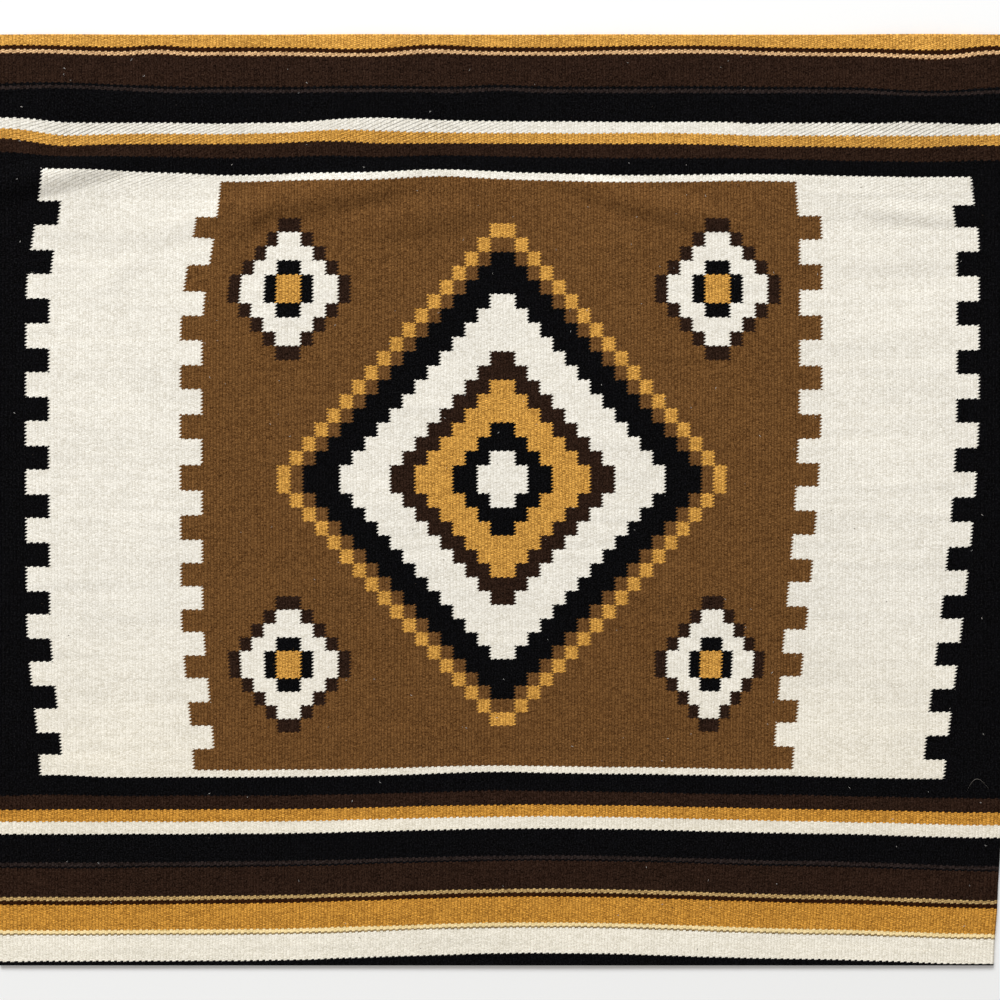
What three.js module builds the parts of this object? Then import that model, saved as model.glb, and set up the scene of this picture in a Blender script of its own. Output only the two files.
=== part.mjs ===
// A flat-woven wool tapestry rug, lying on the floor with its right side up.
// The weave is one piece of cloth, selvedge to selvedge. It lies almost flat:
// low ripples run in from the far end and a few soft swells cross the field.
// Millimetres. X runs across the loom, Y along the warp, Z up; the floor is z = 0.

import * as THREE from 'three';
import { mergeVertices } from 'three/addons/utils/BufferGeometryUtils.js';

// Driving dimensions
const WIDTH = 805;
const LENGTH = 745.2;
const THICKNESS = 3;

// The outermost warps are doubled, so the two selvedges are a firm, thicker cord
const SELVEDGE_EXTRA = 0.5;
const SELVEDGE_REACH = 12;

// How far the middle of the rim stands out past its upper and lower edges
const RIM_ROUNDING = 0.9;

// Slack allowed when a vertex is tested for lying on the block's outer face
const ON_FACE = 1e-6;

// Mesh steps across, along and through the cloth
const STEPS_ACROSS = 44;
const STEPS_ALONG = 36;
const STEPS_THROUGH = 2;

// The line of each selvedge, as the sideways shift from its straight place at a height
const LEFT_SELVEDGE = [
  { y: -372.6, shift: 1.6 },
  { y: -250, shift: 0.4 },
  { y: -90, shift: 0.9 },
  { y: 60, shift: 0 },
  { y: 210, shift: 0.7 },
  { y: 372.6, shift: 0.3 },
];
const RIGHT_SELVEDGE = [
  { y: -372.6, shift: -7.3 },
  { y: -345, shift: -6.2 },
  { y: -322, shift: -4.1 },
  { y: -260, shift: -1.2 },
  { y: -80, shift: -0.3 },
  { y: 90, shift: 0 },
  { y: 372.6, shift: -0.6 },
];

// Ripples and swells: centre, reach each way from the centre, and height of the crest
const RIPPLES = [
  { x: -338, y: 254, reachX: 104, reachY: 46, lift: 3.4 },
  { x: -352, y: 352, reachX: 74, reachY: 66, lift: 2.6 },
  { x: -104, y: 330, reachX: 92, reachY: 92, lift: 4.2 },
  { x: -40, y: 256, reachX: 112, reachY: 46, lift: 2.4 },
  { x: 96, y: 352, reachX: 78, reachY: 60, lift: 2.2 },
  { x: 338, y: 340, reachX: 88, reachY: 84, lift: 4.6 },
  { x: 246, y: 238, reachX: 120, reachY: 44, lift: 1.6 },
  { x: 24, y: -300, reachX: 200, reachY: 90, lift: 2.2 },
  { x: 330, y: -226, reachX: 110, reachY: 70, lift: 1.5 },
  { x: -300, y: -214, reachX: 96, reachY: 56, lift: 1.2 },
];

/**
 * Smooth hump: 1 at its centre, 0 at its reach and beyond.
 * @param {number} away distance from the centre
 * @param {number} reach distance at which the hump has died away
 * @returns {number}
 */
function hump(away, reach) {
  const share = Math.min(1, Math.abs(away) / reach);
  return Math.cos((share * Math.PI) / 2) ** 2;
}

/**
 * Shift read from a table of stations, eased from one station to the next.
 * @param {{y: number, shift: number}[]} stations in rising order of y
 * @param {number} y
 * @returns {number}
 */
function readStations(stations, y) {
  const next = stations.findIndex((station) => station.y >= y);
  if (next === 0) return stations[0].shift;
  if (next < 0) return stations.at(-1).shift;
  const from = stations[next - 1];
  const to = stations[next];
  return THREE.MathUtils.lerp(from.shift, to.shift, THREE.MathUtils.smoothstep(y, from.y, to.y));
}

/** Height by which the ripples hold the cloth off the floor at x, y. */
function liftAt(x, y) {
  return RIPPLES.reduce(
    (sum, ripple) =>
      sum + ripple.lift * hump(x - ripple.x, ripple.reachX) * hump(y - ripple.y, ripple.reachY),
    0,
  );
}

/** Extra thickness of the firm cord along each selvedge, for a place across the loom. */
function selvedgeExtra(across) {
  return SELVEDGE_EXTRA * hump(WIDTH / 2 - Math.abs(across), SELVEDGE_REACH);
}

/**
 * Turns the flat block of the loom into the cloth as it lies.
 * @param {THREE.Vector3} point a vertex of the block, changed in place
 */
function layDown(point) {
  const across = point.x;
  const along = point.y;
  const depth = point.z / THICKNESS + 0.5;
  const onSide = Math.abs(across) > WIDTH / 2 - ON_FACE;
  const onEnd = Math.abs(along) > LENGTH / 2 - ON_FACE;
  const onFace = Math.abs(point.z) > THICKNESS / 2 - ON_FACE;
  const rimInset = onFace ? RIM_ROUNDING : 0;

  const shareAcross = across / WIDTH + 0.5;
  const sideShift = THREE.MathUtils.lerp(
    readStations(LEFT_SELVEDGE, along),
    readStations(RIGHT_SELVEDGE, along),
    shareAcross,
  );
  point.x = across + sideShift - (onSide ? Math.sign(across) * rimInset : 0);
  point.y = along - (onEnd ? Math.sign(along) * rimInset : 0);
  point.z = liftAt(across, along) + depth * (THICKNESS + selvedgeExtra(across));
}

/** The one piece of cloth, as a closed sheet with a rounded rim. */
function clothGeometry() {
  const block = new THREE.BoxGeometry(
    WIDTH,
    LENGTH,
    THICKNESS,
    STEPS_ACROSS,
    STEPS_ALONG,
    STEPS_THROUGH,
  );
  block.deleteAttribute('normal');
  block.deleteAttribute('uv');
  const cloth = mergeVertices(block);
  const places = cloth.getAttribute('position');
  const point = new THREE.Vector3();
  for (let i = 0; i < places.count; i += 1) {
    point.fromBufferAttribute(places, i);
    layDown(point);
    places.setXYZ(i, point.x, point.y, point.z);
  }
  cloth.computeBoundingBox();
  const middle = cloth.boundingBox.getCenter(new THREE.Vector3());
  cloth.translate(-middle.x, -middle.y, 0);
  cloth.computeVertexNormals();
  return cloth;
}

const wool = new THREE.MeshStandardMaterial({ color: 0x6b4a28, roughness: 0.95, metalness: 0 });

const rug = new THREE.Mesh(clothGeometry(), wool);
rug.name = 'rug';

const part = new THREE.Group();
part.add(rug);

export default part;
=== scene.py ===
"""A flat-woven wool tapestry rug on a pale floor, seen from straight above.

Lengths in the tables are millimetres, or counts of ribs and picks where they say so.
A rib is one warp thread with the weft packed down over it, and a pick is one pass of
the weft. A pick shows as a bead on every other rib, so a bead is two picks high, and
the beads of one rib lie one pick higher than those of the next.
"""

import logging
import math
from dataclasses import dataclass
from enum import Enum

import bmesh
import bpy
import numpy as np
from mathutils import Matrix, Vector


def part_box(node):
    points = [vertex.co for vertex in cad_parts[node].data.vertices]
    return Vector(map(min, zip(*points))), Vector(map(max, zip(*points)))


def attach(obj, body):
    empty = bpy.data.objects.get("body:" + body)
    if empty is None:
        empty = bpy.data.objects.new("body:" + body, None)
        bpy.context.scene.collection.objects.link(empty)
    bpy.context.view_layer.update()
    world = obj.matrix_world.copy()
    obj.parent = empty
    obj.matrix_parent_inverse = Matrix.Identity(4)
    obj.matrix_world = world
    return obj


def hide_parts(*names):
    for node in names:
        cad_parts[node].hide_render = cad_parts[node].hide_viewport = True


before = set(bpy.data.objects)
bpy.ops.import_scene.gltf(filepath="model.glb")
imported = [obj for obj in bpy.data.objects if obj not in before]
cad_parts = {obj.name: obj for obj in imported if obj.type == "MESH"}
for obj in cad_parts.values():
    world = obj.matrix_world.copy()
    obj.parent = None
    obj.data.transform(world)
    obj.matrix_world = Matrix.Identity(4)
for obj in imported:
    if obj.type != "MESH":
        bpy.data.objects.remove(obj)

LOG = logging.getLogger("rug")

MM = 0.001
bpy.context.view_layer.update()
RUG_LOW, RUG_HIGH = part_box("rug")
WIDTH = (RUG_HIGH[0] - RUG_LOW[0]) / MM
LENGTH = (RUG_HIGH[1] - RUG_LOW[1]) / MM

# One pixel of the photo on the cloth, and the photo's size
PIXEL = 0.8
PHOTO = 1000

# The longest run of counts that one colour ramp keeps exact, and where in a count it is read
SPAN = 128
READ_AT = 0.75

THREADS = "threads"
# The point attribute with the strength of the painted shadow lines in the bead gaps
SLANT_SHADE = "slant_shade"

# How near its edge a point counts as on it, as a share of the cloth
NEAR = 1e-5


def linear(part: float) -> float:
    """One part of a screen colour, from 0 to 255, as the light that it stands for."""
    share = part / 255
    return share / 12.92 if share <= 0.04045 else ((share + 0.055) / 1.055) ** 2.4


class Yarn(Enum):
    """The dyed and natural weft yarns, as their colour looks in the photo."""

    WHITE = (239, 234, 223)
    NATURAL = (243, 239, 230)
    BROWN = (106, 73, 39)
    BLACK = (7, 7, 9)
    DARK_BROWN = (42, 27, 19)
    ASH = (40, 32, 30)
    UMBER = (47, 23, 7)
    GOLD = (202, 150, 70)
    DEEP_GOLD = (194, 139, 57)
    TAN = (204, 166, 122)
    KHAKI = (180, 152, 102)
    SAND = (146, 126, 90)
    CREAM = (250, 228, 178)

    @property
    def rgba(self) -> tuple[float, float, float, float]:
        """The yarn's colour as light, with a whole alpha."""
        red, green, blue = (linear(part) for part in self.value)
        return (red, green, blue, 1.0)


@dataclass(frozen=True)
class Stripe:
    """A weft stripe, or a ring of a diamond: how many picks or steps of which yarn."""

    count: int
    yarn: Yarn


# The stripes, outwards from the panel to each end of the cloth
STRIPES_ABOVE = (
    Stripe(18, Yarn.BLACK),
    Stripe(15, Yarn.DARK_BROWN),
    Stripe(12, Yarn.GOLD),
    Stripe(13, Yarn.WHITE),
    Stripe(33, Yarn.BLACK),
    Stripe(4, Yarn.ASH),
    Stripe(3, Yarn.BLACK),
    Stripe(34, Yarn.DARK_BROWN),
    Stripe(1, Yarn.UMBER),
    Stripe(4, Yarn.TAN),
    Stripe(5, Yarn.UMBER),
    Stripe(24, Yarn.GOLD),
)
STRIPES_BELOW = (
    Stripe(22, Yarn.BLACK),
    Stripe(16, Yarn.DARK_BROWN),
    Stripe(14, Yarn.DEEP_GOLD),
    Stripe(14, Yarn.WHITE),
    Stripe(32, Yarn.BLACK),
    Stripe(4, Yarn.ASH),
    Stripe(2, Yarn.BLACK),
    Stripe(33, Yarn.DARK_BROWN),
    Stripe(4, Yarn.KHAKI),
    Stripe(5, Yarn.UMBER),
    Stripe(30, Yarn.DEEP_GOLD),
    Stripe(4, Yarn.CREAM),
    Stripe(2, Yarn.SAND),
    Stripe(30, Yarn.NATURAL),
    Stripe(16, Yarn.BLACK),
)


@dataclass(frozen=True)
class Hump:
    """A smooth bump over the cloth: 1 at its centre, 0 at its reach and beyond.

    across and along are its centre, and rise what it adds there.
    """

    across: float
    along: float
    reach_across: float
    reach_along: float
    rise: float

    def at(self, across: np.ndarray, along: np.ndarray) -> np.ndarray:
        """What the bump adds.

        Args:
            across: places across the cloth.
            along: places along the warp.

        Returns:
            The share of the rise at each place.
        """
        sideways = np.clip(np.abs(across - self.across) / self.reach_across, 0, 1)
        lengthways = np.clip(np.abs(along - self.along) / self.reach_along, 0, 1)
        quarter = math.pi / 2
        return self.rise * np.cos(sideways * quarter) ** 2 * np.cos(lengthways * quarter) ** 2


def total(humps: tuple[Hump, ...], across: np.ndarray, along: np.ndarray) -> np.ndarray:
    """Sum of what all the humps add at each place."""
    return sum((hump.at(across, along) for hump in humps), np.zeros_like(across))


# Ripples that hold the cloth off the floor, the same as the solid's
RIPPLES = (
    Hump(-338, 254, 104, 46, 3.4),
    Hump(-352, 352, 74, 66, 2.6),
    Hump(-104, 330, 92, 92, 4.2),
    Hump(-40, 256, 112, 46, 2.4),
    Hump(96, 352, 78, 60, 2.2),
    Hump(338, 340, 88, 84, 4.6),
    Hump(246, 238, 120, 44, 1.6),
    Hump(24, -300, 200, 90, 2.2),
    Hump(330, -226, 110, 70, 1.5),
    Hump(-300, -214, 96, 56, 1.2),
)

# Where the beating pushed the weft up (+) or down (-) the warp
BEATEN = (
    Hump(-397, 290, 52, 40, 4.6),
    Hump(-360, 326, 110, 30, 2.2),
    Hump(-352, 262, 84, 22, 3.4),
    Hump(-200, 260, 72, 22, -1.8),
    Hump(-136, 292, 74, 22, 2.8),
    Hump(-92, 306, 56, 12, 2.4),
    Hump(-48, 262, 64, 20, 2.6),
    Hump(-220, 302, 64, 18, -1.5),
    Hump(-244, 206, 44, 28, 4.6),
    Hump(110, 260, 120, 22, -2.4),
    Hump(164, 352, 70, 26, 1.9),
    Hump(344, 268, 220, 60, -3.9),
    Hump(344, 344, 64, 40, -3.6),
    Hump(384, 284, 60, 18, 2.0),
    Hump(-392, 352, 96, 42, 2.2),
    Hump(-104, 358, 50, 20, -1.6),
    Hump(0, 331, 42, 20, 2.0),
    Hump(0, -18, 1200, 264, -3.4),
    Hump(330, -90, 160, 180, -2.2),
    Hump(-250, -30, 90, 110, -3.2),
    Hump(250, 80, 60, 150, -2.4),
    Hump(0, -352, 1200, 300, 2.2),
    Hump(36, -352, 250, 270, 5.8),
    Hump(402, -316, 150, 150, -3.8),
    Hump(-352, -312, 190, 50, -1.4),
    Hump(0, 372, 900, 44, 1.0),
    Hump(-276, 366, 32, 36, 1.8),
    Hump(-140, 366, 48, 36, -1.0),
    Hump(-52, 366, 52, 36, 1.8),
    Hump(112, 366, 60, 36, 0.8),
    Hump(284, 366, 90, 36, -0.8),
    Hump(392, 366, 32, 30, 1.6),
    Hump(-332, 328, 90, 18, 1.2),
    Hump(340, 328, 90, 18, -1.8),
    Hump(-300, 303, 90, 22, -1.0),
    Hump(-166, 303, 38, 20, -1.8),
    Hump(-36, 303, 110, 20, 0.9),
    Hump(204, 303, 24, 20, -1.0),
    Hump(324, 303, 24, 20, 1.0),
    Hump(380, 303, 32, 20, -1.3),
    Hump(-352, 284, 60, 18, -2.4),
    Hump(-96, 284, 50, 12, -1.4),
    Hump(212, 286, 62, 16, -1.2),
    Hump(-232, 262, 62, 16, -1.1),
    Hump(-360, -220, 52, 30, 2.2),
    Hump(-8, -220, 84, 24, 2.0),
    Hump(236, -220, 52, 20, 1.2),
    Hump(120, -372, 600, 24, 1.0),
    Hump(256, -372, 90, 24, 0.9),
)

# Where the weaver let the colour columns stray sideways from their warps
STRAYED = (
    Hump(-366, 280, 90, 122, 13.4),
    Hump(-242, 280, 90, 150, 17.5),
    Hump(-366, -236, 90, 150, 12.0),
    Hump(-242, -236, 90, 160, 11.4),
    Hump(376, -356, 130, 450, -34.4),
    Hump(248, -356, 130, 460, -30.0),
    Hump(376, 262, 60, 60, -6.0),
    Hump(238, 262, 60, 60, -3.4),
)

# How strongly painted shadow lines darken the slanting gaps between the beads: most on
# the ripples' slopes, where the light grazes the cloth
SLANT_SHADED = (
    Hump(-300, 296, 190, 34, 1.0),
    Hump(-60, 298, 140, 30, 0.9),
    Hump(300, 298, 160, 34, 1.0),
    Hump(-310, 262, 150, 24, 0.7),
    Hump(320, 240, 110, 60, 0.35),
    Hump(0, 0, 402, 372, 0.12),
)


@dataclass(frozen=True)
class Station:
    """How far a selvedge stands off its straight line at a place along the warp."""

    along: float
    shift: float


LEFT_SELVEDGE = (
    Station(-372.6, 1.6),
    Station(-250, 0.4),
    Station(-90, 0.9),
    Station(60, 0),
    Station(210, 0.7),
    Station(372.6, 0.3),
)
RIGHT_SELVEDGE = (
    Station(-372.6, -7.3),
    Station(-345, -6.2),
    Station(-322, -4.1),
    Station(-260, -1.2),
    Station(-80, -0.3),
    Station(90, 0),
    Station(372.6, -0.6),
)


def selvedge_shift(stations: tuple[Station, ...], along: np.ndarray) -> np.ndarray:
    """The selvedge's shift, eased from station to station.

    Args:
        stations: the places where the shift is known, from the lowest up.
        along: places along the warp.

    Returns:
        The shift at each place.
    """
    places = np.array([station.along for station in stations])
    shifts = np.array([station.shift for station in stations])
    start = np.clip(np.searchsorted(places, along) - 1, 0, len(places) - 2)
    share = np.clip((along - places[start]) / (places[start + 1] - places[start]), 0, 1)
    eased = share * share * (3 - 2 * share)
    return shifts[start] + (shifts[start + 1] - shifts[start]) * eased


@dataclass(frozen=True)
class Loom:
    """The set of the warp and weft: what turns thread counts into places on the cloth.

    The outermost ribs on each side are the doubled warps of the selvedge. relief is the
    depth of a groove, firm_relief what it has more beside a firm rib, rim how far the
    faces stop short of the edges, and middle how far up the panel's middle lies.
    """

    ribs: int = 320
    firm_ribs: int = 6
    firm_pitch: float = 3.05
    pick: float = 0.7
    thickness: float = 3.0
    relief: float = 0.2
    firm_relief: float = 0.2
    rim: float = 0.9
    middle: float = 20.2

    @property
    def counts(self) -> list[int]:
        """Ribs from the left, where the firm selvedges begin and end."""
        return [0, self.firm_ribs, self.ribs - self.firm_ribs, self.ribs]

    @property
    def places(self) -> list[float]:
        """Places across the cloth, from its middle, of those rib counts."""
        firm = self.firm_ribs * self.firm_pitch
        return [-WIDTH / 2, firm - WIDTH / 2, WIDTH / 2 - firm, WIDTH / 2]

    def across_of(self, rib: np.ndarray) -> np.ndarray:
        """Place across the cloth, from its middle, for a rib count from the left."""
        return np.interp(rib, self.counts, self.places)

    def rib_of(self, across: np.ndarray) -> np.ndarray:
        """Rib count from the left for a place across the cloth."""
        return np.interp(across, self.places, self.counts)

    def threads_at(self, across: np.ndarray, along: np.ndarray) -> np.ndarray:
        """The threads that lie at each place: what the wool material reads.

        Args:
            across: places across the cloth, from its middle.
            along: places along the warp, from its middle.

        Returns:
            Rows of rib count from the left, pick count from the panel's middle, and
            the place across that the colours are laid out by.
        """
        picks = (along - self.middle - total(BEATEN, across, along)) / self.pick
        laid_out = across - total(STRAYED, across, along)
        return np.stack([self.rib_of(across), picks, laid_out], axis=1)

    def lift_at(self, across: np.ndarray, along: np.ndarray) -> np.ndarray:
        """How far the ripples hold the cloth off the floor."""
        return total(RIPPLES, across, along)

    def lean_at(self, across: np.ndarray, along: np.ndarray) -> np.ndarray:
        """How far the warps lean sideways between the two selvedges.

        Args:
            across: places across the cloth.
            along: places along the warp.

        Returns:
            The shift across at each place.
        """
        left = selvedge_shift(LEFT_SELVEDGE, along)
        right = selvedge_shift(RIGHT_SELVEDGE, along)
        return left + (right - left) * (across / WIDTH + 0.5)


LOOM = Loom()


class Reading:
    """A number worked out at each point of a surface, written as plain arithmetic."""

    def __init__(self, bench: "Bench", socket: bpy.types.NodeSocket) -> None:
        """Keeps the bench that the number is worked out on, and its socket."""
        self.bench = bench
        self.socket = socket

    def __add__(self, other: "Reading | float") -> "Reading":
        """This number plus another."""
        return self.bench.sum("ADD", self, other)

    def __sub__(self, other: "Reading | float") -> "Reading":
        """This number less another."""
        return self.bench.sum("SUBTRACT", self, other)

    def __rsub__(self, other: float) -> "Reading":
        """A plain number less this one."""
        return self.bench.sum("SUBTRACT", other, self)

    def __mul__(self, other: "Reading | float") -> "Reading":
        """This number times another."""
        return self.bench.sum("MULTIPLY", self, other)

    def __truediv__(self, other: "Reading | float") -> "Reading":
        """This number over another."""
        return self.bench.sum("DIVIDE", self, other)

    def __pow__(self, other: float) -> "Reading":
        """This number to a power."""
        return self.bench.sum("POWER", self, other)

    def __lt__(self, other: "Reading | float") -> "Reading":
        """1 where this number is the smaller, otherwise 0."""
        return self.bench.sum("LESS_THAN", self, other)

    def __gt__(self, other: "Reading | float") -> "Reading":
        """1 where this number is the larger, otherwise 0."""
        return self.bench.sum("GREATER_THAN", self, other)

    def __abs__(self) -> "Reading":
        """This number without its sign."""
        return self.bench.sum("ABSOLUTE", self)

    def times_plus(self, factor: "Reading | float", term: "Reading | float") -> "Reading":
        """The number times a factor, plus a term."""
        return self.bench.sum("MULTIPLY_ADD", self, factor, term)

    def floor(self) -> "Reading":
        """The whole number below."""
        return self.bench.sum("FLOOR", self)

    def fraction(self) -> "Reading":
        """What is left over the whole number below."""
        return self.bench.sum("FRACT", self)

    def zigzag(self, half: float) -> "Reading":
        """Up from 0 to half and down again, over and over."""
        return self.bench.sum("PINGPONG", self, half)

    def limited(self) -> "Reading":
        """Holds this step between 0 and 1. Nothing else may read the step."""
        self.socket.node.use_clamp = True
        return self


class Bench:
    """Sets out and joins the nodes of one material."""

    def __init__(self, name: str) -> None:
        """Starts an empty material.

        Args:
            name: the material's name.
        """
        self.material = bpy.data.materials.new(name)
        self.material.use_nodes = True
        self.tree = self.material.node_tree
        self.tree.nodes.clear()

    def node(self, kind: str, **settings: object) -> bpy.types.Node:
        """Adds a node.

        Args:
            kind: Blender's name for the kind of node.
            **settings: the node's own settings, by name.

        Returns:
            The node.
        """
        made = self.tree.nodes.new(kind)
        for name, value in settings.items():
            setattr(made, name, value)
        return made

    def feed(self, socket: bpy.types.NodeSocket, value: object) -> None:
        """Joins something to a socket, or sets a plain value on it.

        Args:
            socket: the socket that takes it.
            value: a reading, another socket, or a number or colour.
        """
        if isinstance(value, Reading):
            value = value.socket
        if isinstance(value, bpy.types.NodeSocket):
            self.tree.links.new(value, socket)
        else:
            socket.default_value = value

    def sum(self, operation: str, *values: "Reading | float") -> Reading:
        """One step of arithmetic.

        Args:
            operation: Blender's name for the step.
            *values: what goes into it, in order.

        Returns:
            What comes out.
        """
        made = self.node("ShaderNodeMath", operation=operation)
        for socket, value in zip(made.inputs, values):
            self.feed(socket, value)
        return Reading(self, made.outputs[0])

    def vector(self, *parts: "Reading | float") -> bpy.types.NodeSocket:
        """A vector.

        Args:
            *parts: up to three numbers.

        Returns:
            The vector's socket.
        """
        made = self.node("ShaderNodeCombineXYZ")
        for socket, value in zip(made.inputs, parts):
            self.feed(socket, value)
        return made.outputs[0]

    def noise(self, place: bpy.types.NodeSocket, scale: float, detail: float = 2.0) -> Reading:
        """Soft noise.

        Args:
            place: where it is read.
            scale: how often it turns in one unit of the place.
            detail: how many finer turns lie on it.

        Returns:
            A number from 0 to 1.
        """
        made = self.node("ShaderNodeTexNoise")
        self.feed(made.inputs["Vector"], place)
        self.feed(made.inputs["Scale"], scale)
        self.feed(made.inputs["Detail"], detail)
        return Reading(self, made.outputs[0])

    def lightness(self, colour: bpy.types.NodeSocket) -> Reading:
        """How light a colour is.

        Args:
            colour: the colour.

        Returns:
            A number from 0 to 1.
        """
        made = self.node("ShaderNodeRGBToBW")
        self.feed(made.inputs[0], colour)
        return Reading(self, made.outputs[0])

    def chance(self, place: bpy.types.NodeSocket) -> Reading:
        """A number that has nothing to do with its neighbours'.

        Args:
            place: where it is read.

        Returns:
            A number from 0 to 1.
        """
        made = self.node("ShaderNodeTexWhiteNoise", noise_dimensions="2D")
        self.feed(made.inputs["Vector"], place)
        return Reading(self, made.outputs["Value"])

    def mix(
        self,
        share: "Reading | float",
        under: object,
        over: object,
        blend: str = "MIX",
    ) -> bpy.types.NodeSocket:
        """Lays a colour over another.

        Args:
            share: how much of the upper colour shows.
            under: the lower colour.
            over: the upper colour.
            blend: Blender's name for the way that they mix.

        Returns:
            The mixed colour.
        """
        made = self.node("ShaderNodeMix", data_type="RGBA", blend_type=blend)
        self.feed(made.inputs[0], share)
        self.feed(made.inputs[6], under)
        self.feed(made.inputs[7], over)
        return made.outputs[2]

    def shade(self, colour: object, factor: Reading) -> bpy.types.NodeSocket:
        """Makes a colour darker or lighter.

        Args:
            colour: the colour.
            factor: 1 to leave it as it is.

        Returns:
            The shaded colour.
        """
        made = self.node("ShaderNodeVectorMath", operation="SCALE")
        self.feed(made.inputs[0], colour)
        self.feed(made.inputs["Scale"], factor)
        return made.outputs[0]

    def bands(self, place: Reading, stripes: tuple[Stripe, ...]) -> bpy.types.NodeSocket:
        """The colour of a run of stripes at a whole count of picks or steps.

        A ramp stays exact for up to SPAN counts, so a longer run is read from several.

        Args:
            place: the whole count, from 0 at the first stripe.
            stripes: the stripes in order. The last one goes on to the end.

        Returns:
            The colour.
        """
        yarns = [stripe.yarn for stripe in stripes for _ in range(stripe.count)]
        colour = None
        for start in range(0, len(yarns), SPAN):
            run = yarns[start : start + SPAN]
            ramp = self.node("ShaderNodeValToRGB")
            ramp.color_ramp.interpolation = "CONSTANT"
            steps = ramp.color_ramp.elements
            steps.remove(steps[1])
            steps[0].color = run[0].rgba
            for index in range(1, len(run)):
                if run[index] is not run[index - 1]:
                    steps.new(index / SPAN).color = run[index].rgba
            self.feed(ramp.inputs[0], (place - start + READ_AT) / SPAN)
            reached = place > start - 0.5
            colour = self.mix(reached, colour, ramp.outputs[0]) if colour else ramp.outputs[0]
        return colour


@dataclass(frozen=True)
class Mottle:
    """Soft unevenness over the threads.

    per_rib and per_pick say how fast it changes, detail how many finer turns lie on it,
    share how strong it is, and layer keeps it apart from the others.
    """

    per_rib: float
    per_pick: float
    detail: float
    share: float
    layer: float = 0.0

    def at(self, bench: Bench, rib: Reading, pick: Reading) -> Reading:
        """What it adds, around 0."""
        place = bench.vector(rib * self.per_rib, pick * self.per_pick, self.layer)
        return (bench.noise(place, 1.0, self.detail) - 0.5) * self.share


@dataclass(frozen=True)
class SteppedDiamond:
    """Rings of stepped diamonds around a centre, from the inmost ring outwards."""

    across: float
    along: float
    step_across: float
    step_along: float
    rings: tuple[Stripe, ...]

    @property
    def size(self) -> int:
        """How many rings there are in all."""
        return sum(ring.count for ring in self.rings)

    def lay_over(
        self, bench: Bench, ground: object, across: Reading, along: Reading, field: Reading
    ) -> bpy.types.NodeSocket:
        """Lays the diamond over the colours beneath it.

        Args:
            bench: the bench that the material is made on.
            ground: the colour beneath.
            across: how far from the field's middle, across.
            along: how far from the field's middle, along, in picks.
            field: 1 where the diamond may show.

        Returns:
            The colour with the diamond on it.
        """
        sideways = (abs(across - self.across) / self.step_across).floor()
        lengthways = (abs(along - self.along) / self.step_along).floor()
        ring = sideways + lengthways
        inside = (ring < self.size - 0.5) * field
        return bench.mix(inside, ground, bench.bands(ring, self.rings))


MEDALLION = SteppedDiamond(
    across=0,
    along=0,
    step_across=10.0,
    step_along=16,
    rings=(
        Stripe(2, Yarn.WHITE),
        Stripe(2, Yarn.BLACK),
        Stripe(3, Yarn.GOLD),
        Stripe(2, Yarn.DARK_BROWN),
        Stripe(4, Yarn.WHITE),
        Stripe(3, Yarn.BLACK),
        Stripe(1, Yarn.BROWN),
        Stripe(1, Yarn.GOLD),
    ),
)
CORNER_DIAMOND = SteppedDiamond(
    across=172,
    along=214,
    step_across=10.0,
    step_along=16,
    rings=(
        Stripe(1, Yarn.GOLD),
        Stripe(1, Yarn.BLACK),
        Stripe(2, Yarn.WHITE),
        Stripe(1, Yarn.DARK_BROWN),
    ),
)


@dataclass(frozen=True)
class ToothColumn:
    """An edge of the panel that steps in and out like the teeth of a comb.

    base is where the edge stands between the teeth and depth how far a tooth steps out,
    to the right where it is above 0. first counts the picks from the panel's top to the
    top of a tooth, and opens is 1 where the edge stands out above that tooth too.
    """

    base: float
    depth: float
    first: float
    height: float
    pitch: float = 55.2
    opens: int = 1

    def edge(self, down: Reading) -> Reading:
        """Where the edge stands.

        Args:
            down: the count of picks down from the panel's top.

        Returns:
            The place across.
        """
        share = ((down - self.first) / self.pitch).fraction()
        opening = down < self.first
        tooth = (share < self.height / self.pitch) * (1.0 - opening) + opening * self.opens
        return tooth * self.depth + self.base


@dataclass(frozen=True)
class Panel:
    """The white panel with its toothed sides, and the brown field inside it."""

    picks: int = 692
    border_picks: int = 8
    left_outer: ToothColumn = ToothColumn(-361.0, -18.4, first=5.0, height=28.0)
    left_inner: ToothColumn = ToothColumn(-256.0, 17.2, first=24.4, height=27.6)
    right_inner: ToothColumn = ToothColumn(240.0, 17.6, first=49.2, height=27.2, opens=0)
    right_outer: ToothColumn = ToothColumn(365.6, 17.6, first=7.2, height=28.0)
    field_middle: float = 2.0


PANEL = Panel()


@dataclass(frozen=True)
class Crease:
    """A small fold that is too sharp for the mesh, raised in the weave's relief.

    rib and pick are its middle, ribs and picks its reach, lean how many picks higher it
    lies at its right end, and rise its height.
    """

    rib: float
    pick: float
    ribs: float
    picks: float
    lean: float
    rise: float

    def raised_on(self, folds: Reading, rib: Reading, pick: Reading) -> Reading:
        """The height of the cloth with this fold added to the others.

        Args:
            folds: the height of the cloth without it, in millimetres.
            rib: rib count.
            pick: pick count.

        Returns:
            The height with it.
        """
        sideways = rib.times_plus(1 / self.ribs, -self.rib / self.ribs)
        leaned = sideways.times_plus(-self.lean / self.picks, -self.pick / self.picks)
        upwards = pick.times_plus(1 / self.picks, leaned)
        away = sideways.times_plus(sideways, upwards * upwards)
        inside = (1.0 - away).limited()
        return (inside * inside).times_plus(self.rise, folds)


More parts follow.
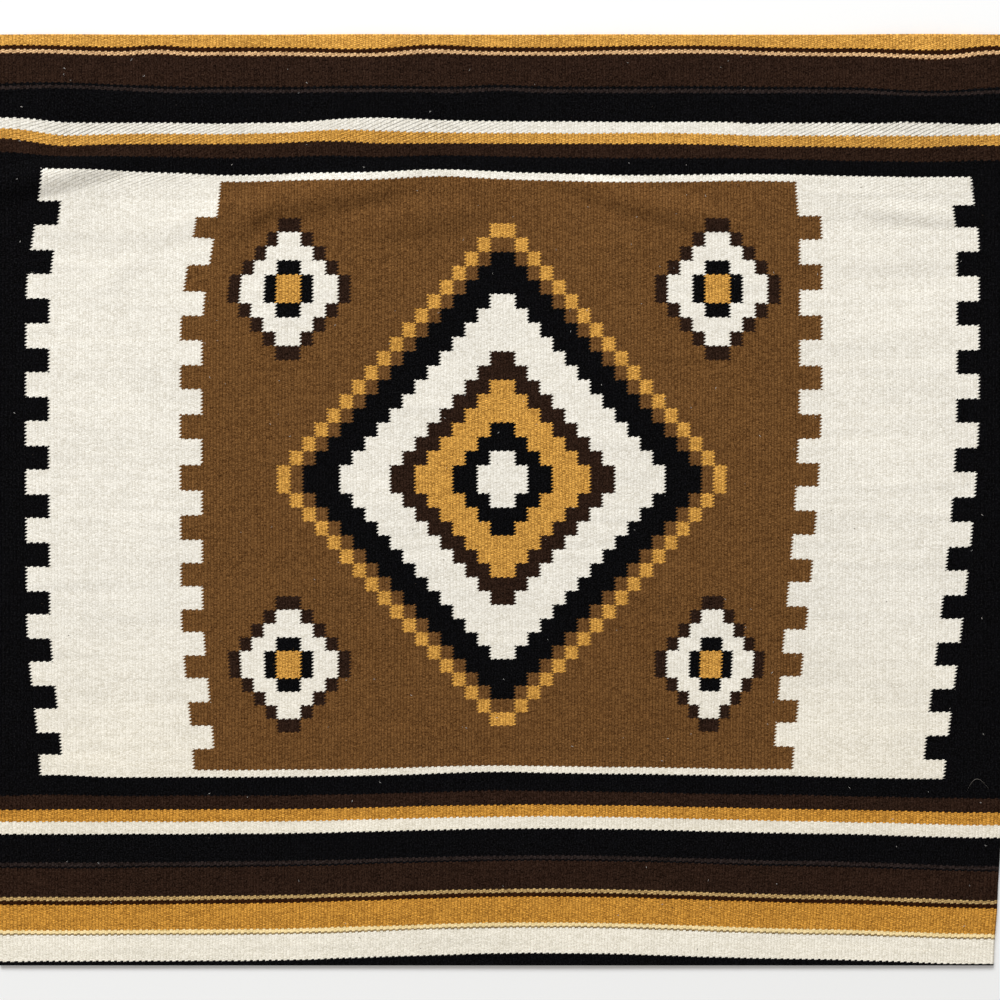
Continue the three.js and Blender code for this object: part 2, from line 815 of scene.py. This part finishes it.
CREASES = (
    Crease(18, 341, 35, 24, 24, 4.8),
    Crease(101, 320, 46, 30, 30, 4.6),
    Crease(79, 289, 14, 26, 44, 1.8),
    Crease(133, 292, 28, 26, 14, 2.6),
    Crease(208, 311, 38, 26, -34, 3.6),
    Crease(294, 299, 28, 18, -12, 1.4),
    Crease(38, 232, 14, 22, 30, 0.7),
    Crease(39, 283, 44, 36, 0, 1.5),
    Crease(280, 257, 44, 36, 0, 1.3),
)


@dataclass(frozen=True)
class WovenWool:
    """The wool weave: ribs, beads, spun yarn, and how unevenly it took the dye.

    The grooves between ribs and the gaps between beads get painted shade, given as shares
    of the light. A yarn's darkness, from 0 for the undyed white to 1 for black, sets how much
    of that painted shade and of the grain show on it. The names with white, middling, dark
    and black say for which yarns a value counts.
    """

    roughness: float = 0.92
    specular: float = 0.02
    sheen: float = 0.008
    sheen_roughness: float = 0.6

    # The form of one bead and of the line where two colours meet
    bead_slant: float = 0.16
    bead_bow: float = 0.22
    rib_roundness: float = 2.2
    bead_roundness: float = 3.0
    interlock: float = 2.7
    interlock_slant: float = 0.2

    # Painted shade in the grooves between ribs and the gaps between beads: how dark it is, and the
    # mean share of each on the cloth
    white_from: float = 0.8
    blackness: float = 12.0
    groove: float = 0.12
    dark_groove_shade: float = 0.5
    black_groove_shade_lost: float = 0.5
    groove_shade_mean: float = 0.31
    bead_gap_shade: float = 0.14
    middling_gap_shade: float = 3.0
    gap_shade_mean: float = 0.25

    # Painted shadow lines in the slanting gaps between beads: their turns per pick and rib, edge,
    # depth and share
    slant_shade_per_pick: float = 0.27
    slant_shade_per_rib: float = -0.39
    slant_shade_edge: float = 5.0
    slant_shade_depth: float = 0.95
    slant_shade_share: float = 0.9

    # Heights in millimetres, and how much finer the spun yarn is than a rib
    bead_relief: float = 0.14
    bead_dip: float = 0.5
    fibre_relief: float = 0.06
    fibre_turns: float = 2.6
    fibre_detail: float = 3.0

    # How the yarn took the dye: the grain on each kind of yarn, and its warm and pale hairs
    white_grain: float = 0.25
    middling_grain: float = 1.25
    black_grain: float = 0.5
    single_beads: float = 0.7
    heather: tuple[float, float, float, float] = (0.5, 0.26, 0.04, 1.0)
    heather_depth: float = 0.5
    heather_share: float = 0.12
    heather_grain: float = 0.5
    hairs: tuple[float, float, float, float] = (0.5, 0.46, 0.43, 1.0)
    hairs_share: float = 0.032

    # How the pale wool yellows towards the foot: from which pick, and over how many
    yellowing: tuple[float, float, float, float] = (1.03, 1.004, 0.945, 1.0)
    yellow_from: float = -140.6
    yellow_over: float = 312.5

    rumples: Mottle = Mottle(0.05, 0.018, 1.0, 1.4, 3.0)
    crowding: Mottle = Mottle(0.21, 0.015, 1.0, 0.5)
    packing: Mottle = Mottle(0.06, 0.15, 1.0, 1.6, 7.0)
    # Breaks up the painted shadow lines in the slanting bead gaps
    slant_shade_breakup: Mottle = Mottle(0.23, 0.2, 2.0, 2.6, 5.0)
    streaks: Mottle = Mottle(0.012, 0.1, 3.0, 0.22)
    clouds: Mottle = Mottle(0.03, 0.008, 2.0, 0.14)
    strands: Mottle = Mottle(0.9, 0.04, 2.0, 0.5)
    fibres: Mottle = Mottle(1.5, 0.9, 2.0, 1.2)
    specks: Mottle = Mottle(2.6, 0.62, 0.0, 2.2, 9.0)

    def material(self) -> bpy.types.Material:
        """Makes the material, which reads only the threads that lie at each point.

        Returns:
            The material.
        """
        bench = Bench("woven_wool")
        threads = bench.node("ShaderNodeAttribute", attribute_name=THREADS)
        parts = bench.node("ShaderNodeSeparateXYZ")
        bench.feed(parts.inputs[0], threads.outputs["Vector"])
        rib, pick, across = (Reading(bench, socket) for socket in parts.outputs)
        folds = self.rumples.at(bench, rib, pick)
        for crease in CREASES:
            folds = crease.raised_on(folds, rib, pick)
        crowded = self.crowding.at(bench, rib, pick)
        packed = self.packing.at(bench, rib, pick)
        rib = rib + crowded
        pick = pick + packed

        number = rib.floor()
        off_rib = (rib - number) * 2.0 - 1.0
        odd = (number * 0.5).fraction() * 2.0
        bow = off_rib * off_rib * self.bead_bow - off_rib * (self.bead_slant / 2)
        row = (pick + odd) * 0.5 + bow
        bead = row.floor()
        own_pick = bead * 2.0 + 1.0 - odd

        shared = (pick * 0.5 - across * self.interlock_slant).zigzag(1.0) - 0.5
        colour = self.layout(bench, across + shared * self.interlock, own_pick)
        beside_rib = abs(off_rib) ** self.rib_roundness
        beside_bead = abs((row - bead) * 2.0 - 1.0) ** self.bead_roundness
        dark = 1.0 - (bench.lightness(colour) / self.white_from).limited()
        black = dark**self.blackness
        colour = self.dyed(bench, colour, dark, black, rib, pick, bench.vector(number, bead))
        # Painted shade in the grooves between ribs and the gaps between beads
        groove = (dark - black * self.black_groove_shade_lost) * self.dark_groove_shade + self.groove
        gap_shade = dark * (1.0 - dark) * self.middling_gap_shade + self.bead_gap_shade
        shade = 1.0 - (beside_rib - self.groove_shade_mean) * groove
        shade = shade * (1.0 - (beside_bead - self.gap_shade_mean) * gap_shade)
        # Painted shadow lines in the slanting bead gaps, where the light grazes the ripples
        colour = bench.shade(colour, shade * self.slant_gap_shade(bench, rib, pick))
        relief = (1.0 - beside_rib) * (1.0 - beside_bead * self.bead_dip) * self.bead_relief
        return self.finished(bench, colour, folds + relief, bench.vector(rib, pick * 0.5))

    def layout(self, bench: Bench, across: Reading, pick: Reading) -> bpy.types.NodeSocket:
        """The colour of the yarn at each bead: stripes, panel, field and diamonds.

        Args:
            bench: the bench that the material is made on.
            across: the place across that the colours are laid out by.
            pick: the whole count of picks from the panel's middle.

        Returns:
            The colour.
        """
        half = PANEL.picks / 2
        height = pick + 0.5
        outside = abs(height) - half - 0.5
        above = bench.bands(outside, STRIPES_ABOVE)
        below = bench.bands(outside, STRIPES_BELOW)
        colour = bench.mix(height > 0.0, below, above)

        down = half - height
        inside = abs(height) < half
        right_of_left = across > PANEL.left_outer.edge(down)
        left_of_right = across < PANEL.right_outer.edge(down)
        panel = inside * right_of_left * left_of_right
        colour = bench.mix(panel, colour, Yarn.WHITE.rgba)

        within = abs(height) < half - PANEL.border_picks
        after_left = across > PANEL.left_inner.edge(down)
        before_right = across < PANEL.right_inner.edge(down)
        field = within * after_left * before_right
        colour = bench.mix(field, colour, Yarn.BROWN.rgba)

        sideways = abs(across - PANEL.field_middle)
        for diamond in (MEDALLION, CORNER_DIAMOND):
            colour = diamond.lay_over(bench, colour, sideways, abs(height), field)
        return colour

    def slant_gap_shade(self, bench: Bench, rib: Reading, pick: Reading) -> Reading:
        """Paints shadow lines into the slanting gaps between the beads.

        Args:
            bench: the bench that the material is made on.
            rib: rib count.
            pick: pick count.

        Returns:
            The share of the light that is left.
        """
        slant_shade = bench.node("ShaderNodeAttribute", attribute_name=SLANT_SHADE)
        broken_up = (self.slant_shade_breakup.at(bench, rib, pick) + self.slant_shade_share).limited()
        shaded = Reading(bench, slant_shade.outputs["Fac"]) * broken_up
        slanted = pick * self.slant_shade_per_pick + rib * self.slant_shade_per_rib
        between_lines = (slanted.zigzag(0.5) * self.slant_shade_edge).limited()
        return 1.0 - shaded * (1.0 - between_lines) * self.slant_shade_depth

    def dyed(
        self,
        bench: Bench,
        colour: object,
        dark: Reading,
        black: Reading,
        rib: Reading,
        pick: Reading,
        bead: bpy.types.NodeSocket,
    ) -> bpy.types.NodeSocket:
        """The colour as the yarn really took it: streaked, heathered and faded.

        Args:
            bench: the bench that the material is made on.
            colour: the yarn's own colour.
            dark: 0 for the undyed white, 1 for the dark yarns, which show more of it.
            black: 1 for the black yarn, and near 0 for all but the darkest.
            rib: rib count.
            pick: pick count.
            bead: which bead this is.

        Returns:
            The uneven colour.
        """
        slow = self.streaks.at(bench, rib, pick) + self.clouds.at(bench, rib, pick)
        strands = self.strands.at(bench, rib, pick)
        fibres = self.fibres.at(bench, rib, pick)
        specks = self.specks.at(bench, rib, pick)
        single = (bench.chance(bead) - 0.5) * self.single_beads
        grain = strands + fibres + specks + single
        weight = dark * (self.middling_grain - dark) + black * self.black_grain + self.white_grain
        shade = grain * weight + slow + 1.0

        yellowed = ((self.yellow_from - pick) / self.yellow_over).limited() * (1.0 - dark)
        colour = bench.mix(yellowed, colour, self.yellowing, "MULTIPLY")
        warm = bench.mix(self.heather_depth, colour, self.heather, "OVERLAY")
        tinted = bench.mix(self.heather_share - grain * self.heather_grain, colour, warm)
        raised = (fibres / self.fibres.share + specks / self.specks.share).limited()
        return bench.mix(raised * self.hairs_share, bench.shade(tinted, shade), self.hairs)

    def finished(
        self,
        bench: Bench,
        colour: object,
        relief: Reading,
        place: bpy.types.NodeSocket,
    ) -> bpy.types.Material:
        """Joins colour and relief to the shader.

        Args:
            bench: the bench that the material is made on.
            colour: the finished colour.
            relief: how high the folds and the weft on them stand, in millimetres.
            place: where on the weave this is.

        Returns:
            The material.
        """
        shader = bench.node("ShaderNodeBsdfPrincipled")
        bench.feed(shader.inputs["Base Color"], colour)
        shader.inputs["Roughness"].default_value = self.roughness
        shader.inputs["Specular IOR Level"].default_value = self.specular
        shader.inputs["Sheen Weight"].default_value = self.sheen
        shader.inputs["Sheen Roughness"].default_value = self.sheen_roughness
        spun = bench.noise(place, self.fibre_turns, self.fibre_detail)
        bump = bench.node("ShaderNodeBump")
        bench.feed(bump.inputs["Height"], relief + spun * self.fibre_relief)
        bump.inputs["Distance"].default_value = MM
        bump.inputs["Strength"].default_value = 1.0
        bench.feed(shader.inputs["Normal"], bump.outputs[0])
        out = bench.node("ShaderNodeOutputMaterial")
        bench.feed(out.inputs[0], shader.outputs[0])
        return bench.material


@dataclass(frozen=True)
class LooseWool:
    """Lint and stray hairs that lie on the weave, pale or dark."""

    name: str
    colour: tuple[int, int, int]
    roughness: float = 0.85
    patches_in_metre: float = 900.0
    unevenness: float = 0.6

    def material(self) -> bpy.types.Material:
        """Makes the material, a little uneven from place to place.

        Returns:
            The material.
        """
        bench = Bench(self.name)
        place = bench.node("ShaderNodeTexCoord").outputs["Object"]
        patches = bench.noise(place, self.patches_in_metre) - 0.5
        tone = tuple(linear(part) for part in self.colour)
        colour = bench.shade(tone, patches * self.unevenness + 1.0)
        shader = bench.node("ShaderNodeBsdfPrincipled")
        bench.feed(shader.inputs["Base Color"], colour)
        shader.inputs["Roughness"].default_value = self.roughness
        out = bench.node("ShaderNodeOutputMaterial")
        bench.feed(out.inputs[0], shader.outputs[0])
        return bench.material


def add_piece(name: str, mesh: bpy.types.Mesh, material: bpy.types.Material) -> bpy.types.Object:
    """Puts a finished mesh in the scene as a piece that rides on the rug's body.

    Args:
        name: the piece's name.
        mesh: its mesh, at its place.
        material: what it is made of.

    Returns:
        The piece.
    """
    mesh.materials.append(material)
    mesh.shade_smooth()
    piece = bpy.data.objects.new(name, mesh)
    bpy.context.scene.collection.objects.link(piece)
    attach(piece, "root")
    LOG.info("%s: %d points, %d faces", name, len(mesh.vertices), len(mesh.polygons))
    return piece


def set_threads(mesh: bpy.types.Mesh, threads: np.ndarray) -> None:
    """Stores on each point which threads lie there."""
    layer = mesh.attributes.new(THREADS, "FLOAT_VECTOR", "POINT")
    layer.data.foreach_set("vector", threads.astype(np.float32).ravel())


def rank(place: Vector) -> float:
    """Orders places in the block. A layer outweighs all its rows, and a row its width."""
    return place.x + place.y * 100 + place.z * 1000


@dataclass
class RugWeave:
    """The one piece of cloth, with its ribs standing on both faces.

    Half of its rows lie above fine_from, a share of the length, where the ripples are.
    The outermost rows are narrow, so that the rims don't shade the cloth beside them.
    side_drop is how far each face comes in at the selvedges.
    """

    steps_in_rib: int = 3
    rows: int = 48
    fine_from: float = 0.15
    rim_row: float = 1.6
    side_drop: float = 0.5

    def block(self) -> bpy.types.Mesh:
        """Makes a closed block of the cloth's mesh, 1 by 1 by 1 around its middle.

        Returns:
            The mesh, with its rows and rib steps still evenly spaced.
        """
        grown = bmesh.new()
        across = LOOM.ribs * self.steps_in_rib
        bmesh.ops.create_grid(grown, x_segments=across, y_segments=self.rows, size=0.5)
        bmesh.ops.translate(grown, verts=grown.verts, vec=(0, 0, 0.5))
        bmesh.ops.solidify(grown, geom=grown.faces[:], thickness=1.0)
        walls = [
            edge
            for edge in grown.edges
            if abs(edge.verts[0].co.z - edge.verts[1].co.z) > 0.5
        ]
        bmesh.ops.subdivide_edges(grown, edges=walls, cuts=1)
        bmesh.ops.recalc_face_normals(grown, faces=grown.faces[:])
        grown.verts.sort(key=lambda vert: rank(vert.co))
        grown.edges.sort(key=lambda edge: rank(sum((vert.co for vert in edge.verts), Vector())))
        grown.faces.sort(key=lambda face: rank(face.calc_center_median()))
        mesh = bpy.data.meshes.new("rug_weave")
        grown.to_mesh(mesh)
        grown.free()
        return mesh

    def row_places(self, share: np.ndarray) -> np.ndarray:
        """Where the rows lie along the warp.

        Args:
            share: even shares of the length, from -0.5 to 0.5.

        Returns:
            The place of each.
        """
        row = 1 / self.rows
        end = LENGTH / 2
        shares = [-0.5, row - 0.5, 0.0, 0.5 - row, 0.5]
        return np.interp(
            share,
            shares,
            [-end, self.rim_row - end, self.fine_from * LENGTH, end - self.rim_row, end],
        )

    def lay_down(self, mesh: bpy.types.Mesh) -> None:
        """Moves the block's points to where the threads of the rug lie.

        Args:
            mesh: the block.
        """
        count = len(mesh.vertices)
        places = np.empty(count * 3, dtype=np.float64)
        mesh.vertices.foreach_get("co", places)
        places = places.reshape(count, 3)
        places[:, 2] -= (places[:, 2].max() + places[:, 2].min()) / 2
        rib = (places[:, 0] + 0.5) * LOOM.ribs
        across = LOOM.across_of(rib)
        along = self.row_places(places[:, 1])
        # 1 on the upper face, -1 on the lower one, and 0 on the ring of points between
        face = np.sign(np.round(places[:, 2] * 4))

        step = np.round(rib * self.steps_in_rib) % self.steps_in_rib
        firm = np.minimum(rib, LOOM.ribs - rib).round() <= LOOM.firm_ribs
        groove = np.where(step == 0, LOOM.relief + firm * LOOM.firm_relief, 0.0)
        inset = np.abs(face) * LOOM.rim
        on_side = np.abs(places[:, 0]) > 0.5 - NEAR
        on_end = np.abs(places[:, 1]) > 0.5 - NEAR
        drop = np.where(on_side, self.side_drop, groove)
        depth = LOOM.thickness * (face + 1) / 2 - face * drop

        laid = np.stack(
            [
                across + LOOM.lean_at(across, along) - on_side * np.sign(across) * inset,
                along - on_end * np.sign(along) * inset,
                LOOM.lift_at(across, along) + depth,
            ],
            axis=1,
        )
        middle = (laid[:, :2].max(axis=0) + laid[:, :2].min(axis=0)) / 2
        laid[:, :2] -= middle
        mesh.vertices.foreach_set("co", (laid * MM).ravel())
        set_threads(mesh, LOOM.threads_at(across, along))
        # Painted shade: how strongly shadow lines darken the slanting bead gaps at each point
        slant_shade = mesh.attributes.new(SLANT_SHADE, "FLOAT", "POINT")
        slant_shade.data.foreach_set("value", total(SLANT_SHADED, across, along).astype(np.float32))
        mesh.update()

    def build(self, material: bpy.types.Material) -> bpy.types.Object:
        """Makes the cloth, which stands for the solid.

        Args:
            material: the weave.

        Returns:
            The piece.
        """
        mesh = self.block()
        self.lay_down(mesh)
        piece = add_piece("rug_weave", mesh, material)
        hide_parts("rug")
        return piece


@dataclass
class StrayFibres:
    """Many short fibres that stand on the cloth, made from one three-sided strand.

    The ranges are the least and the most of each fibre's length, thickness, sideways
    bend as a share of its length, and rise of its middle off the weave. tip is how thick
    its ends are and clearance how high it lies, both as shares of its thickness.
    """

    name: str
    count: int
    seed: int
    length: tuple[float, float]
    thickness: tuple[float, float] = (0.25, 0.5)
    bend: tuple[float, float] = (-0.3, 0.3)
    rise: tuple[float, float] = (0.05, 0.3)
    joints: int = 4
    tip: float = 0.35
    clearance: float = 0.2
    margin: float = 4.0
    right_margin: float = 12.0

    def strand(self) -> tuple[np.ndarray, list[tuple[int, ...]]]:
        """Makes one straight closed strand along Z, 1 long and 1 thick.

        Returns:
            Its points, and its faces as indices of them.
        """
        grown = bmesh.new()
        bmesh.ops.create_cone(
            grown, cap_ends=True, segments=3, radius1=0.5, radius2=0.5, depth=1.0
        )
        sides = [edge for edge in grown.edges if abs(edge.verts[0].co.z - edge.verts[1].co.z) > 0.5]
        bmesh.ops.subdivide_edges(grown, edges=sides, cuts=self.joints)
        grown.verts.index_update()
        points = np.array([vert.co[:] for vert in grown.verts])
        faces = [tuple(vert.index for vert in face.verts) for face in grown.faces]
        grown.free()
        return points, faces

    def scattered(self) -> np.ndarray:
        """Scatters the fibres over the cloth, clear of its edges. The right one leans in.

        Returns:
            Across, along and heading, one row each.
        """
        draw = np.random.default_rng(self.seed)
        side = WIDTH / 2
        end = LENGTH / 2 - self.margin
        return np.stack(
            [
                draw.uniform(self.margin - side, side - self.right_margin, self.count),
                draw.uniform(-end, end, self.count),
                draw.uniform(0, 2 * math.pi, self.count),
            ],
            axis=1,
        )

    def build(
        self, material: bpy.types.Material, rows: np.ndarray | None = None
    ) -> bpy.types.Object:
        """Makes the fibres as one piece.

        Args:
            material: what they are made of.
            rows: across, along and heading of each fibre, where they aren't scattered.

        Returns:
            The piece.
        """
        rows = self.scattered() if rows is None else rows
        draw = np.random.default_rng(self.seed + 1)
        count = len(rows)
        across, along, heading = (rows[:, [column]] for column in range(3))
        length, thick, bend, rise = (
            draw.uniform(*reach, (count, 1))
            for reach in (self.length, self.thickness, self.bend, self.rise)
        )
        points, faces = self.strand()
        share = points[:, 2][None, :] + 0.5
        bow = np.sin(share * math.pi)
        taper = thick * (self.tip + (1 - self.tip) * bow)
        sideways = bend * length * bow + points[:, 0][None, :] * taper
        onwards = length * (share - 0.5)
        height = LOOM.lift_at(across, along) + LOOM.thickness + thick * self.clearance
        laid = np.stack(
            [
                across + np.cos(heading) * onwards - np.sin(heading) * sideways,
                along + np.sin(heading) * onwards + np.cos(heading) * sideways,
                height + rise * bow + points[:, 1][None, :] * taper,
            ],
            axis=2,
        )
        each = len(points)
        shifted = [
            tuple(corner + first for corner in face)
            for first in range(0, count * each, each)
            for face in faces
        ]
        mesh = bpy.data.meshes.new(self.name)
        mesh.from_pydata((laid.reshape(-1, 3) * MM).tolist(), [], shifted)
        roots = LOOM.threads_at(across[:, 0], along[:, 0])
        set_threads(mesh, np.repeat(roots, each, axis=0))
        return add_piece(self.name, mesh, material)


# Places that the photo shows: across, along and heading
HAIR_PLACE = np.array([[382.0, -232.0, 0.1]])
LOOP_PLACE = np.array([[377.6, 251.2, 1.1], [378.4, 250.6, 2.4]])
KNOT_PLACES = np.array([[-224.0, 20.0, 0.4], [-96.0, 168.0, 0.8], [118.0, -196.0, 0.1]])


def loose_threads(wool: bpy.types.Material) -> list[bpy.types.Object]:
    """Makes all that lies or stands on the weave: fuzz, lint, a hair, a loop and knots.

    Args:
        wool: the weave's own material, for what takes its colour from the roots.

    Returns:
        The pieces.
    """
    pale = LooseWool("pale_lint", (226, 222, 216)).material()
    dark = LooseWool("dark_lint", (70, 56, 46)).material()
    hair = LooseWool("stray_hair", (138, 130, 122), 0.5).material()
    fuzz = StrayFibres(
        "wool_fuzz", count=2600, seed=11, length=(2, 7), thickness=(0.05, 0.1), rise=(0.2, 1.2)
    )
    pale_lint = StrayFibres("pale_lint", count=230, seed=23, length=(0.5, 2.2))
    dark_lint = StrayFibres("dark_lint", count=90, seed=31, length=(0.7, 1.8))
    long_hair = StrayFibres(
        "hair",
        count=1,
        seed=5,
        length=(18, 18),
        thickness=(0.3, 0.3),
        bend=(0.5, 0.5),
        rise=(0.6, 0.6),
        joints=14,
    )
    loop = StrayFibres(
        "yarn_loop",
        count=2,
        seed=7,
        length=(3.4, 3.8),
        thickness=(0.7, 0.7),
        bend=(0.3, 0.5),
        rise=(1.6, 2.0),
        joints=8,
    )
    knots = StrayFibres(
        "yarn_knots",
        count=3,
        seed=9,
        length=(2.6, 3.6),
        thickness=(1.0, 1.3),
        bend=(-0.1, 0.1),
        rise=(0.1, 0.2),
        joints=6,
    )
    return [
        fuzz.build(wool),
        pale_lint.build(pale),
        dark_lint.build(dark),
        long_hair.build(hair, HAIR_PLACE),
        loop.build(pale, LOOP_PLACE),
        knots.build(wool, KNOT_PLACES),
    ]


@dataclass(frozen=True)
class Studio:
    """The pale floor, the soft light and the camera straight above.

    Its lengths are metres, but for the sensor and the floor's drop, in millimetres.
    """

    distance: float = 2.0
    sensor: float = 36.0
    floor_size: float = 12.0
    floor_drop: float = 0.2
    floor_colour: tuple[float, float, float, float] = (0.96, 0.96, 0.955, 1.0)
    floor_roughness: float = 0.9
    floor_specular: float = 0.1
    sky: float = 0.47
    sky_colour: tuple[float, float, float, float] = (1.0, 0.97, 0.935, 1.0)
    key_energy: float = 249.0
    key_colour: tuple[float, float, float] = (0.975, 1.003, 1.027)
    key_place: tuple[float, float, float] = (-1.1, 4.0, 3.0)
    key_width: float = 3.4
    key_height: float = 1.9

    def camera(self) -> None:
        """Looks straight down, with the photo's width of cloth across the frame."""
        data = bpy.data.cameras.new("camera")
        data.sensor_width = self.sensor
        data.lens = self.sensor * self.distance / (PHOTO * PIXEL * MM)
        camera = bpy.data.objects.new("camera", data)
        camera.location = (0, 0, self.distance + LOOM.thickness * MM)
        bpy.context.scene.collection.objects.link(camera)
        bpy.context.scene.camera = camera

    def floor(self) -> None:
        """A wide plain floor, just under the rug."""
        bench = Bench("pale_floor")
        shader = bench.node("ShaderNodeBsdfPrincipled")
        shader.inputs["Base Color"].default_value = self.floor_colour
        shader.inputs["Roughness"].default_value = self.floor_roughness
        shader.inputs["Specular IOR Level"].default_value = self.floor_specular
        out = bench.node("ShaderNodeOutputMaterial")
        bench.feed(out.inputs[0], shader.outputs[0])
        plane = bmesh.new()
        bmesh.ops.create_grid(plane, x_segments=1, y_segments=1, size=self.floor_size / 2)
        bmesh.ops.translate(plane, verts=plane.verts, vec=(0, 0, -self.floor_drop * MM))
        mesh = bpy.data.meshes.new("floor")
        plane.to_mesh(mesh)
        plane.free()
        mesh.materials.append(bench.material)
        floor = bpy.data.objects.new("floor", mesh)
        bpy.context.scene.collection.objects.link(floor)

    def lights(self) -> None:
        """An even sky, and one wide soft light from beyond the far end."""
        world = bpy.data.worlds.new("sky")
        world.use_nodes = True
        sky = world.node_tree.nodes["Background"]
        sky.inputs[0].default_value = self.sky_colour
        sky.inputs[1].default_value = self.sky
        bpy.context.scene.world = world
        data = bpy.data.lights.new("key", "AREA")
        data.shape = "RECTANGLE"
        data.size = self.key_width
        data.size_y = self.key_height
        data.energy = self.key_energy
        data.color = self.key_colour
        key = bpy.data.objects.new("key", data)
        key.location = self.key_place
        key.rotation_euler = Vector(self.key_place).to_track_quat("Z", "Y").to_euler()
        bpy.context.scene.collection.objects.link(key)

    def build(self) -> None:
        """Sets up the whole studio."""
        self.camera()
        self.floor()
        self.lights()
        view = bpy.context.scene.view_settings
        view.view_transform = "Standard"
        view.look = "None"


def main() -> None:
    """Builds the studio and the rug, and reports each piece."""
    logging.basicConfig(level=logging.INFO, format="%(name)s: %(message)s")
    Studio().build()
    wool = WovenWool().material()
    weave = RugWeave().build(wool)
    loose = loose_threads(wool)


if __name__ == "__main__":
    main()
